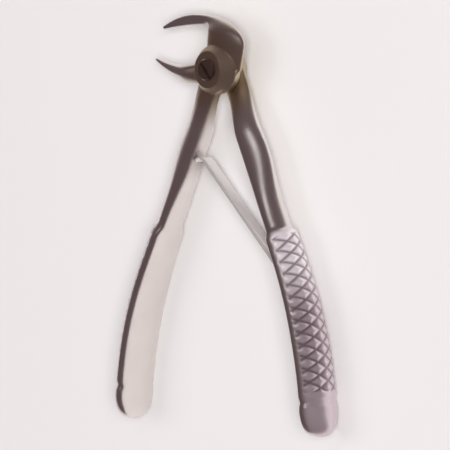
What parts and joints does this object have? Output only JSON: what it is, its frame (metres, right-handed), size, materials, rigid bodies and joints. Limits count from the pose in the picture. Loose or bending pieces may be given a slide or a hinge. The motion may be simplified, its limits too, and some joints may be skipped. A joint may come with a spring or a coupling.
{
  "type": "extraction forceps",
  "caption": "Children's dental extraction forceps: hooked beaks at right angles to knurled handles, laps crossed on a slotted pivot screw, leaf spring that opens the handles.",
  "frame": {"origin": "on the pivot's axis, on the plane that the forceps rests on: the end face of the pivot screw's tail", "axes": "+Z along the pivot, from the screw's tail to its head; +Y from the handles' ends towards the joint; the beaks point to -X"},
  "size_m": [0.0928, 0.1267, 0.0154],
  "materials": {
    "forged_steel": "polished",
    "screw_steel": "satin",
    "spring_steel": "polished"
  },
  "bodies": {
    "right_arm": {"right_half": "forged_steel", "pivot_screw": "screw_steel", "leaf_spring": "spring_steel", "spring_screw": "screw_steel"},
    "left_arm": {"left_half": "forged_steel"}
  },
  "joints": [
    {"name": "pivot", "type": "hinge", "parent": "right_arm", "child": "left_arm", "pos_m": [0, 0, 0.00725], "axis": [0, 0, 1], "range_deg": [0, 18.5], "stiffness_Nm_per_rad": 1.5, "deforming": ["leaf_spring"]}
  ]
}
